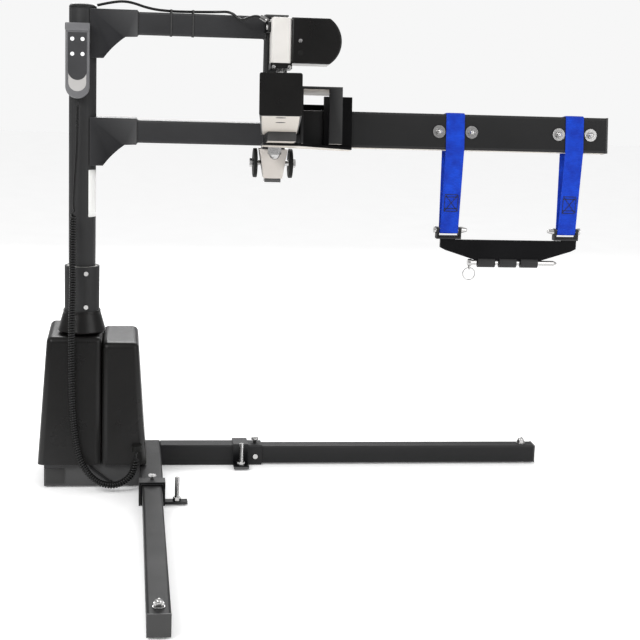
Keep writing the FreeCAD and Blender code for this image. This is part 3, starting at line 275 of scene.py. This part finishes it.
def make_materials():
    """One finish for each material slot of the record, and a few more for details."""
    return {
        "powder_black": surface("powder_coat", (0.004, 0.004, 0.0045), 0.38, 900, 0.5, wear=0.3, gleam=0.07),
        "powder_grey": surface("powder_coat_grey", (0.009, 0.009, 0.0105), 0.4, 900, 0.5, wear=0.4,
                               gleam=0.16),
        # painted reflection: black powder coat whose undersides are painted beige for the floor's reflected
        # light
        "powder_under_painted_reflection": surface("powder_coat_painted_under_reflection", (0.003, 0.003, 0.0033), 0.38, 900, 0.5, wear=0.3,
                                under=UNDERSIDE_REFLECTION_BEIGE, gleam=0.05),
        "cover_black": surface("textured_plastic", (0.0045, 0.0042, 0.004), 0.3, 600, 0.45, wear=0.3,
                               gleam=0.22),
        "rubber": surface("rubber", (0.008, 0.008, 0.0075), 0.6, 400, 0.3, gleam=0.15),
        "grey_plastic": surface("grey_casting", (0.66, 0.64, 0.61), 0.35, 300, 0.15, 0.08),
        "handset_grey": surface("handset_plastic", (0.13, 0.13, 0.135), 0.35, 500, 0.2, 0.12),
        "handset_dark": surface("handset_face", (0.035, 0.035, 0.037), 0.35, 500, 0.2, 0.12),
        "handset_light": surface("handset_light", (0.42, 0.41, 0.40), 0.38, 500, 0.2, 0.08),
        "key_white": surface("key", (0.93, 0.93, 0.93), 0.4, 200, 0.1, 0.03),
        "bare_metal": surface("satin_metal", (0.60, 0.56, 0.52), 0.42, 500, 0.25, 0.12, metal=0.35),
        "bright_steel": surface("bright_steel", (0.46, 0.455, 0.45), 0.2, 300, 0.1, 0.1, metal=1.0),
        "webbing_blue": webbing_material(),
        "cable_black": surface("cable_sheath", (0.004, 0.004, 0.004), 0.3, 300, 0.1, gleam=0.3),
        "thread_black": surface("thread", (0.006, 0.006, 0.012), 0.7, 900, 0.2),
        "nylon": surface("nylon", (0.72, 0.71, 0.67), 0.5, 300, 0.1, 0.05),
        "battery": surface("battery_case", (0.08, 0.08, 0.09), 0.5, 500, 0.3),
        "label": surface("label", (0.82, 0.82, 0.80), 0.45, 300, 0.05, 0.04),
    }


# ---------------------------------------------------------------- mesh helpers
def mesh_object(name, verts, faces, smooth=False):
    mesh = bpy.data.meshes.new(name)
    mesh.from_pydata([tuple(v) for v in verts], [], faces)
    mesh.update()
    if smooth:
        mesh.shade_smooth()
    obj = bpy.data.objects.new(name, mesh)
    bpy.context.scene.collection.objects.link(obj)
    return obj


def object_from(name, build):
    """Ends a bmesh and returns it as an object in the scene."""
    mesh = bpy.data.meshes.new(name)
    build.to_mesh(mesh)
    build.free()
    obj = bpy.data.objects.new(name, mesh)
    bpy.context.scene.collection.objects.link(obj)
    return obj


def finish_piece(obj, material, body):
    """Gives a piece its material and its body."""
    obj.data.materials.clear()
    obj.data.materials.append(materials[material])
    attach(obj, body)


def tube_mesh(name, path, radius, sides=10, radii=None):
    """A round tube with capped ends along a list of points, its section carried without twist."""
    verts, faces = [], []
    last = None
    count = len(path)
    for i, point in enumerate(path):
        ahead = (path[min(i + 1, count - 1)] - path[max(i - 1, 0)]).normalized()
        if last is None:
            last = ahead.orthogonal().normalized()
        last = (last - ahead * last.dot(ahead)).normalized()
        other = ahead.cross(last)
        r = radii[i] if radii else radius
        for k in range(sides):
            angle = 2 * math.pi * k / sides
            verts.append(point + (last * math.cos(angle) + other * math.sin(angle)) * r)
    for i in range(count - 1):
        for k in range(sides):
            a, b = i * sides + k, i * sides + (k + 1) % sides
            faces.append((a, b, b + sides, a + sides))
    faces.append(tuple(reversed(range(sides))))
    faces.append(tuple(range((count - 1) * sides, count * sides)))
    return mesh_object(name, verts, faces, smooth=True)


def spline_points(points):
    """Points read from the smooth NURBS line that a cord's route controls."""
    curve = bpy.data.curves.new("route", "CURVE")
    curve.dimensions = "3D"
    curve.resolution_u = 24
    spline = curve.splines.new("NURBS")
    spline.points.add(len(points) - 1)
    for target, point in zip(spline.points, points):
        target.co = (*point, 1)
    spline.order_u = 3
    spline.use_endpoint_u = True
    probe = bpy.data.objects.new("route", curve)
    bpy.context.scene.collection.objects.link(probe)
    bpy.context.view_layer.update()
    mesh = bpy.data.meshes.new_from_object(probe.evaluated_get(bpy.context.evaluated_depsgraph_get()))
    line = [v.co.copy() for v in mesh.vertices]
    bpy.data.objects.remove(probe)
    return line


def path_length(path):
    """The length of a line of points."""
    return sum((b - a).length for a, b in zip(path, path[1:]))


def resample(path, gap):
    """The same line with evenly spaced points."""
    total = path_length(path)
    count = max(2, round(total / gap))
    step, out, along, index = total / count, [path[0].copy()], 0.0, 0
    for i in range(1, count):
        goal = i * step
        while along + (path[index + 1] - path[index]).length < goal:
            along += (path[index + 1] - path[index]).length
            index += 1
        share = (goal - along) / (path[index + 1] - path[index]).length
        out.append(path[index].lerp(path[index + 1], share))
    return out + [path[-1].copy()]


def rounded_block(name, low, high, radius):
    """A block between two corners with every edge rounded."""
    low, high = Vector(low), Vector(high)
    build = bmesh.new()
    bmesh.ops.create_cube(build, size=1)
    centre, span = (low + high) / 2, high - low
    for vert in build.verts:
        vert.co = Vector((vert.co[i] * span[i] + centre[i] for i in range(3)))
    bmesh.ops.bevel(build, geom=build.edges[:], offset=radius, segments=3, profile=0.5, affect="EDGES")
    block = object_from(name, build)
    block.data.shade_smooth()
    return block


def plate(name, outline, y_front, thickness, rim=0.0006):
    """A flat piece in the XZ plane with a softened front rim."""
    build = bmesh.new()
    front = [build.verts.new((x, y_front, z)) for x, z in outline]
    face = build.faces.new(front)
    made = bmesh.ops.extrude_face_region(build, geom=[face])
    for item in made["geom"]:
        if isinstance(item, bmesh.types.BMVert):
            item.co.y += thickness
    bmesh.ops.recalc_face_normals(build, faces=build.faces[:])
    rims = [e for e in build.edges if all(abs(v.co.y - y_front) < 1e-7 for v in e.verts)]
    bmesh.ops.bevel(build, geom=rims, offset=rim, segments=2, profile=0.5, affect="EDGES")
    return object_from(name, build)


def button_on(name, node, origin, direction, radius, height, material, body):
    """A crowned round button set on a node's surface, where a line from origin meets it."""
    mesh = nodes[node].data
    points = [v.co.copy() for v in mesh.vertices]
    tree = BVHTree.FromPolygons(points, [tuple(p.vertices) for p in mesh.polygons])
    spot, normal, _, _ = tree.ray_cast(Vector(origin), Vector(direction))
    across = (Vector((1, 0, 0)) - normal * normal.x).normalized()
    along = normal.cross(across)
    ring, sunk = 32, -0.0005
    profile = ((1.0, sunk), (1.0, height * 0.55), (0.86, height * 0.9), (0.5, height))
    verts, faces = [], []
    for share, lift in profile:
        for i in range(ring):
            angle = 2 * math.pi * i / ring
            outward = across * math.cos(angle) + along * math.sin(angle)
            verts.append(spot + outward * (radius * share) + normal * lift)
    for level in range(len(profile) - 1):
        for i in range(ring):
            a, b = level * ring + i, level * ring + (i + 1) % ring
            faces.append((a, b, b + ring, a + ring))
    faces.append(tuple(range((len(profile) - 1) * ring, len(profile) * ring)))
    faces.append(tuple(reversed(range(ring))))
    finish_piece(mesh_object(name, verts, faces), material, body)


# ---------------------------------------------------------------- the CAD nodes' finish, and the painted floor reflection on undersides
# jib, boom and corner bracket get undersides painted with the floor's reflected light; the arms get a dark
# grey coat
SPECIAL_FINISH_AND_PAINTED_REFLECTION = {"jib_tube": "powder_under_painted_reflection", "boom_tube": "powder_under_painted_reflection", "corner_bracket": "powder_under_painted_reflection",
                  "upper_arm": "powder_grey", "lower_arm": "powder_grey", "arm_sockets": "powder_grey"}


def dress_cad_nodes():
    """Gives each CAD node its material, and softens its hard edges as paint and moulding do."""
    for row in record["subparts"]:
        node = nodes[row["node"]]
        key = SPECIAL_FINISH_AND_PAINTED_REFLECTION.get(row["node"], row["material_slot"])
        node.data.materials.clear()
        node.data.materials.append(materials[key])
        weld = node.modifiers.new("weld", "WELD")
        weld.merge_threshold = 0.00002
        bevel = node.modifiers.new("soft_edges", "BEVEL")
        bevel.width = 0.0009
        bevel.segments = 2
        bevel.limit_method = "ANGLE"
        bevel.angle_limit = math.radians(35)
        bevel.use_clamp_overlap = True
        bevel.harden_normals = True


# ---------------------------------------------------------------- cords
WIRE = 0.005
COIL_RADIUS = 0.0055  # from the coil's middle to the wire's
COIL_PITCH = 0.0056
POINTS_PER_TURN = 14
RUN_IN = 0.03  # the wire spirals out of its own line over this length at each end
CABLE_RADIUS = 0.003
LEAD_ROUTE = [(-0.010, -0.047, 0.860), (-0.010, -0.046, 0.804), (-0.012, -0.047, 0.744),
              (-0.016, -0.049, 0.686), (-0.018, -0.051, 0.640)]
CURLY_ROUTE = [(-0.018, -0.051, 0.6396), (-0.020, -0.061, 0.560), (-0.018, -0.080, 0.470),
               (-0.020, -0.100, 0.372), (-0.019, -0.112, 0.262), (-0.015, -0.114, 0.160),
               (-0.003, -0.113, 0.078), (0.028, -0.112, 0.028), (0.072, -0.112, 0.013),
               (0.108, -0.112, 0.030), (0.124, -0.111, 0.062), (0.126, -0.098, 0.092)]


def handset_cord():
    """A plain lead down the mast that runs on as a curly cord, in one length, to its gland."""
    lead = resample(spline_points([Vector(p) for p in LEAD_ROUTE]), 0.004)
    line = resample(spline_points([Vector(p) for p in CURLY_ROUTE]), 0.0008)
    total = path_length(line)
    spots = resample(line, total / int(total / COIL_PITCH * POINTS_PER_TURN))
    step = total / (len(spots) - 1)
    side = Vector((1, 0, 0))
    helix, angle = [], 0.0
    for i, point in enumerate(spots):
        ahead = (spots[min(i + 1, len(spots) - 1)] - spots[max(i - 1, 0)]).normalized()
        side = (side - ahead * side.dot(ahead)).normalized()
        other = ahead.cross(side)
        grow = min(1.0, i * step / RUN_IN, (total - i * step) / RUN_IN)
        angle += 2 * math.pi * step / COIL_PITCH * grow ** 2
        helix.append(point + (side * math.cos(angle) + other * math.sin(angle)) * COIL_RADIUS * grow)
    path = lead[:-1] + helix
    cord = tube_mesh("handset_cord", path, WIRE / 2, sides=8)
    cord.data.materials.append(materials["cable_black"])
    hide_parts("curly_cord", "handset_lead")
    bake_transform(cord)


def actuator_cable():
    """The motor's lead, from the mast top along the arm to a bright connector."""
    end_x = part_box("actuator_cable")[1].x
    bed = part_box("upper_arm")[1].z + CABLE_RADIUS + 0.0003
    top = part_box("tube_caps")[1].z
    route = [(0.031, -0.012, top - 0.003), (0.066, -0.012, top + 0.006), (0.100, -0.012, top + 0.008),
             (0.145, -0.012, bed + 0.004), (0.192, -0.012, bed), (0.240, -0.012, bed + 0.0006),
             (0.290, -0.014, bed + 0.002), (0.322, -0.036, bed + 0.004), (0.342, -0.046, bed - 0.016),
             (0.360, -0.058, bed - 0.008), (0.378, -0.070, bed - 0.002), (end_x, -0.096, bed - 0.012)]
    path = resample(spline_points([Vector(p) for p in route]), 0.003)
    cable = tube_mesh("motor_lead", path, CABLE_RADIUS, sides=12)
    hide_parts("actuator_cable")
    finish_piece(cable, "cable_black", "mast")
    end = path[-1]
    ahead = (path[-1] - path[-4]).normalized()
    steps, behind, length = 24, 0.018, 0.022
    stations = [end - ahead * behind + ahead * length * i / steps for i in range(steps + 1)]
    radii = [0.0052 if i % 2 == 0 else 0.0040 for i in range(steps + 1)]
    collar = tube_mesh("lead_connector", stations, 0.005, sides=16, radii=radii)
    finish_piece(collar, "bright_steel", "mast")


# ---------------------------------------------------------------- straps
TILT = math.radians(8)
PIVOT = Vector((0, -0.055, 0.840))
BOOM_Y, BOOM_LOW, BOOM_HIGH = -0.065, 0.780, 0.860  # the boom's section, before the tilt
BOOM_HALF_DEPTH = 0.020
BOLT_Z = 0.602
BOLT_RADIUS = 0.0056
REST = 0.0018  # from the boom or the bolt to the middle of the webbing
WEBBING_THICK = 0.0011
CROWN = 0.0002  # how much the webbing's middle stands above its edges
RIB_PITCH = 0.0034
RIB_SWELL = 0.0004
EDGE_INSET = 0.00014
EDGE_WOBBLE = 0.00018  # the selvedge moves in and out with the ribs
STITCH_LONG = 0.0024
STITCH_GAP = 0.0008


def tilt_point(y, z):
    """A point of the level boom's section, tilted with the jib."""
    dy, dz = y - PIVOT.y, z - PIVOT.z
    return Vector((0, PIVOT.y + dy * math.cos(TILT) + dz * math.sin(TILT),
                   PIVOT.z - dy * math.sin(TILT) + dz * math.cos(TILT)))


def round_corners(corners, radii, arc_steps=8):
    """A closed line whose corners are arcs."""
    out = []
    count = len(corners)
    for i, corner in enumerate(corners):
        before, after = corners[i - 1], corners[(i + 1) % count]
        to_last, to_next = (before - corner).normalized(), (after - corner).normalized()
        half = to_last.angle(to_next) / 2
        trim = radii[i] / math.tan(half)
        centre = corner + (to_last + to_next).normalized() * (radii[i] / math.sin(half))
        start = (corner + to_last * trim - centre).normalized()
        end = (corner + to_next * trim - centre).normalized()
        for k in range(arc_steps + 1):
            out.append(centre + start.slerp(end, k / arc_steps) * radii[i])
    return out


def strap_corners():
    """The strap's line: front top first, over the boom, down the back and under the bolt to the front."""
    front, back = BOOM_Y - BOOM_HALF_DEPTH - REST, BOOM_Y + BOOM_HALF_DEPTH + REST
    under = BOLT_Z - BOLT_RADIUS - REST
    return [tilt_point(front, BOOM_LOW), tilt_point(front, BOOM_HIGH + REST),
            tilt_point(back, BOOM_HIGH + REST), tilt_point(back, BOOM_LOW),
            Vector((0, BOOM_Y + BOLT_RADIUS + REST, under)), Vector((0, BOOM_Y - BOLT_RADIUS - REST, under))]


def strap(name, node):
    """A ribbed webbing loop round the boom, down to the spreader bolt, with its stitched box."""
    low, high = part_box(node)
    x_mid, half_width = (low.x + high.x) / 2, (high.x - low.x) / 2
    corners = strap_corners()
    loop = round_corners(corners, [0.02, 0.006, 0.006, 0.02, 0.006, 0.006])
    loop = resample(loop + [loop[0]], 0.0007)[:-1]
    columns = [-1, -0.965, -0.8, -0.5, -0.2, 0.2, 0.5, 0.8, 0.965, 1]
    ribs = round(path_length(loop + [loop[0]]) / RIB_PITCH)
    count = len(loop)
    verts, faces = [], []
    centre = sum(loop, Vector()) / count
    for i, point in enumerate(loop):
        ahead = (loop[(i + 1) % count] - loop[i - 1]).normalized()
        out = Vector((0, ahead.z, -ahead.y))
        if out.dot(point - centre) < 0:
            out = -out
        phase = 2 * math.pi * ribs * i / count
        swell = RIB_SWELL * math.cos(phase)
        for sign in (1, -1):
            for column in columns[::sign]:
                thin = 0.45 if abs(column) > 0.99 else 1.0
                bow = CROWN * (1 - column * column)
                offset = (WEBBING_THICK / 2 + swell * thin) * sign * thin + bow
                wobble = EDGE_WOBBLE * math.sin(phase) if abs(column) > 0.9 else 0
                x = x_mid + column * (half_width - EDGE_INSET) + wobble * column
                verts.append(Vector((x, point.y, point.z)) + out * offset)
    width = 2 * len(columns)
    for i in range(count):
        j = (i + 1) % count
        for k in range(width):
            m = (k + 1) % width
            faces.append((i * width + k, i * width + m, j * width + m, j * width + k))
    band = mesh_object(name, verts, faces, smooth=True)
    build = bmesh.new()
    build.from_mesh(band.data)
    bmesh.ops.recalc_face_normals(build, faces=build.faces[:])
    build.to_mesh(band.data)
    build.free()
    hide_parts(node)
    finish_piece(band, "webbing_blue", "jib")
    stitches(name, corners[0], corners[5], x_mid, half_width)


def stitches(name, top, foot, x_mid, half_width):
    """The black stitched box with a cross, near the foot of the strap's front leg."""
    normal = Vector((0, -1, 0))

    def spot(u, v):
        point = foot.lerp(top, v)
        return Vector((x_mid + u * half_width, point.y, point.z)) + normal * 0.0012

    side, low, high, inset = 0.72, 0.27, 0.47, 0.03
    runs = [((-side, v), (side, v)) for v in (low, low + inset, high, high - inset)]
    runs += [((u, low), (u, high)) for u in (-side, side)]
    runs += [((-side, low), (side, high)), ((-side, high), (side, low))]
    sides = ((0, 1, 5, 4), (1, 2, 6, 5), (2, 3, 7, 6), (3, 0, 4, 7), (4, 5, 6, 7), (3, 2, 1, 0))
    verts, faces = [], []
    for run in runs:
        start, end = spot(*run[0]), spot(*run[1])
        count = int((end - start).length / (STITCH_LONG + STITCH_GAP))
        ahead = (end - start).normalized()
        across = ahead.cross(normal).normalized() * 0.0009
        lift = normal * 0.0005
        for i in range(count):
            a = start + ahead * (i * (STITCH_LONG + STITCH_GAP))
            b = a + ahead * STITCH_LONG
            base = len(verts)
            verts += [a - across, a + across, b + across, b - across]
            crown = across * 0.4
            verts += [corner + lift for corner in (a - crown, a + crown, b + crown, b - crown)]
            faces += [tuple(base + k for k in face) for face in sides]
    thread = mesh_object(name + "_stitching", verts, faces)
    finish_piece(thread, "thread_black", "jib")


# ---------------------------------------------------------------- handset, label and small trim
def pill_outline(x_mid, half, top, low, steps=14):
    """A tongue shape: square above, round below."""
    points = [(x_mid - half, top), (x_mid - half, low + half)]
    for k in range(1, steps):
        angle = math.pi + math.pi * k / steps
        points.append((x_mid + half * math.cos(angle), low + half + half * math.sin(angle)))
    return points + [(x_mid + half, low + half), (x_mid + half, top)]


def face_plate(name, share, below_top, above_foot, proud):
    """A thin tongue on the handset's front, a share of its width, standing proud of its face."""
    low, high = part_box("handset_shell")
    x_mid, half = (low.x + high.x) / 2, (high.x - low.x) / 2
    outline = pill_outline(x_mid, half * share, high.z - below_top, low.z + above_foot)
    return plate(name, outline, low.y - proud, 0.0012)


def handset_trim():
    """A dark panel cut round the four keys, a pale thumb rest under it, and a lip over the top."""
    low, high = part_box("handset_shell")
    light = face_plate("handset_thumb_rest", 0.74, 0.075, 0.016, 0.0007)
    finish_piece(light, "handset_light", "mast")
    panel = face_plate("handset_panel", 0.78, 0.020, 0.040, 0.0013)
    cutters = []
    for key in ("button_boom_up", "button_slew_left", "button_boom_down", "button_slew_right"):
        a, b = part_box(key)
        bpy.ops.mesh.primitive_cylinder_add(radius=(b.x - a.x) / 2 + 0.0003, depth=0.02, vertices=40,
                                            location=((a.x + b.x) / 2, low.y, (a.z + b.z) / 2),
                                            rotation=(math.pi / 2, 0, 0))
        cutters.append(bpy.context.object)
    for target in (panel, light):
        for cutter in cutters:
            hole = target.modifiers.new("key_hole", "BOOLEAN")
            hole.object = cutter
            hole.solver = "EXACT"
        bpy.context.view_layer.objects.active = target
        for modifier in list(target.modifiers):
            with bpy.context.temp_override(object=target, active_object=target):
                bpy.ops.object.modifier_apply(modifier=modifier.name)
    for cutter in cutters:
        bpy.data.objects.remove(cutter)
    finish_piece(panel, "handset_dark", "mast")
    over = 0.0006
    lip = rounded_block("handset_lip", (low.x - over, low.y - 0.0032, high.z - 0.017),
                        (high.x + over, low.y + 0.006, high.z + over), 0.0028)
    finish_piece(lip, "handset_grey", "mast")


def mast_label():
    """A blank sticker round the mast's right front, between the lower arm and the column."""
    low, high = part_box("mast_tube")
    inner = (high.x - low.x) / 2 + 0.0002
    outer = inner + 0.00025
    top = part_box("lower_arm")[0].z - 0.062
    bottom = top - 0.105
    first_angle, spread = -62, 52
    columns, rows = 12, 6
    verts, faces = [], []
    for radius in (inner, outer):
        for i in range(columns + 1):
            angle = math.radians(first_angle + spread * i / columns)
            for j in range(rows + 1):
                z = bottom + (top - bottom) * j / rows
                verts.append((radius * math.cos(angle), radius * math.sin(angle), z))

    def at(column, row, skin):
        return (skin * (columns + 1) + column) * (rows + 1) + row

    for i in range(columns):
        for j in range(rows):
            faces.append((at(i, j, 1), at(i + 1, j, 1), at(i + 1, j + 1, 1), at(i, j + 1, 1)))
            faces.append((at(i, j + 1, 0), at(i + 1, j + 1, 0), at(i + 1, j, 0), at(i, j, 0)))
    for i in range(columns):
        faces.append((at(i, 0, 0), at(i + 1, 0, 0), at(i + 1, 0, 1), at(i, 0, 1)))
        faces.append((at(i, rows, 1), at(i + 1, rows, 1), at(i + 1, rows, 0), at(i, rows, 0)))
    for j in range(rows):
        faces.append((at(0, j, 1), at(0, j + 1, 1), at(0, j + 1, 0), at(0, j, 0)))
        faces.append((at(columns, j, 0), at(columns, j + 1, 0), at(columns, j + 1, 1), at(columns, j, 1)))
    label = mesh_object("blank_label", verts, faces, smooth=True)
    finish_piece(label, "label", "mast")


def weld_bead(name, corners):
    """A rippled weld on the mast, along a line of corners."""
    bead = 0.0019
    path = resample([Vector(c) for c in corners], 0.0009)
    radii = [bead * (1 + 0.16 * math.sin(i * 1.9)) for i in range(len(path))]
    seam = tube_mesh(name, path, bead, sides=8, radii=radii)
    finish_piece(seam, "powder_black", "mast")


def welds():
    """A weld round each end of the two arms."""
    socket_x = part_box("arm_sockets")[1].x
    for arm in ("upper_arm", "lower_arm"):
        low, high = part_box(arm)
        for where, x in (("socket", socket_x), ("post", high.x)):
            ring = [(x, low.y, low.z), (x, high.y, low.z), (x, high.y, high.z), (x, low.y, high.z),
                    (x, low.y, low.z)]
            weld_bead("weld_%s_%s" % (arm, where), ring)


def chassis_trim():
    """A service hatch, and a folded stay with its stud, on the front of the chassis."""
    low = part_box("base_chassis")[0]
    hatch = rounded_block("chassis_hatch", (low.x + 0.003, low.y - 0.0018, 0.008),
                          (low.x + 0.047, low.y + 0.001, 0.044), 0.0008)
    finish_piece(hatch, "cover_black", "base")
    start = Vector((low.x + 0.098, low.y - 0.002, 0.053))
    end = Vector((low.x + 0.150, low.y - 0.002, 0.012))
    stay = tube_mesh("chassis_stay", resample([start, end], 0.004), 0.0028, sides=12)
    finish_piece(stay, "powder_black", "base")
    stud_path = [end + Vector((0, -0.006 + 0.0015 * i, 0)) for i in range(5)]
    stud_radii = [0.003, 0.0048, 0.005, 0.005, 0.005]
    stud = tube_mesh("chassis_stay_stud", stud_path, 0.005, sides=20, radii=stud_radii)
    finish_piece(stud, "rubber", "base")


def head_trim():
    """Flange screws, the motor cover's screw and plug, and two dark discs of painted shade for the holes
    under the jib.
    """
    toward_back, upward = (0, 1, 0), (0, 0, 1)
    low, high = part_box("actuator_flange")
    level = (low.z + high.z) / 2
    for side, x in (("left", low.x + 0.006), ("right", high.x - 0.006)):
        button_on("flange_screw_" + side, "actuator_flange", (x, -1, level), toward_back, 0.0042, 0.003,
                  "bright_steel", "actuator")
    low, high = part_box("motor_cover")
    x, middle = low.x + 0.018, (low.z + high.z) / 2
    button_on("cover_screw", "motor_cover", (x, -1, middle), toward_back, 0.0042, 0.002,
              "bright_steel", "actuator")
    button_on("cover_plug", "motor_cover", (x, -1, middle - 0.026), toward_back, 0.006, 0.0008,
              "rubber", "actuator")
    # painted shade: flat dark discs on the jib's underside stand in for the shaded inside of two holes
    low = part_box("jib_tube")[0]
    jib_lean = math.tan(math.radians(5.6))
    for name, depth in (("front", 0.035), ("back", 0.14)):
        x = low.x + 0.040 + jib_lean * depth
        button_on("jib_hole_painted_shade_" + name, "jib_tube", (x, low.y + depth, 0), upward, 0.010, 0.0004,
                  "rubber", "jib")


make_camera()
materials = make_materials()
make_studio()
dress_cad_nodes()
handset_cord()
actuator_cable()
strap("webbing_strap_left", "strap_left")
strap("webbing_strap_right", "strap_right")
handset_trim()
mast_label()
welds()
chassis_trim()
head_trim()
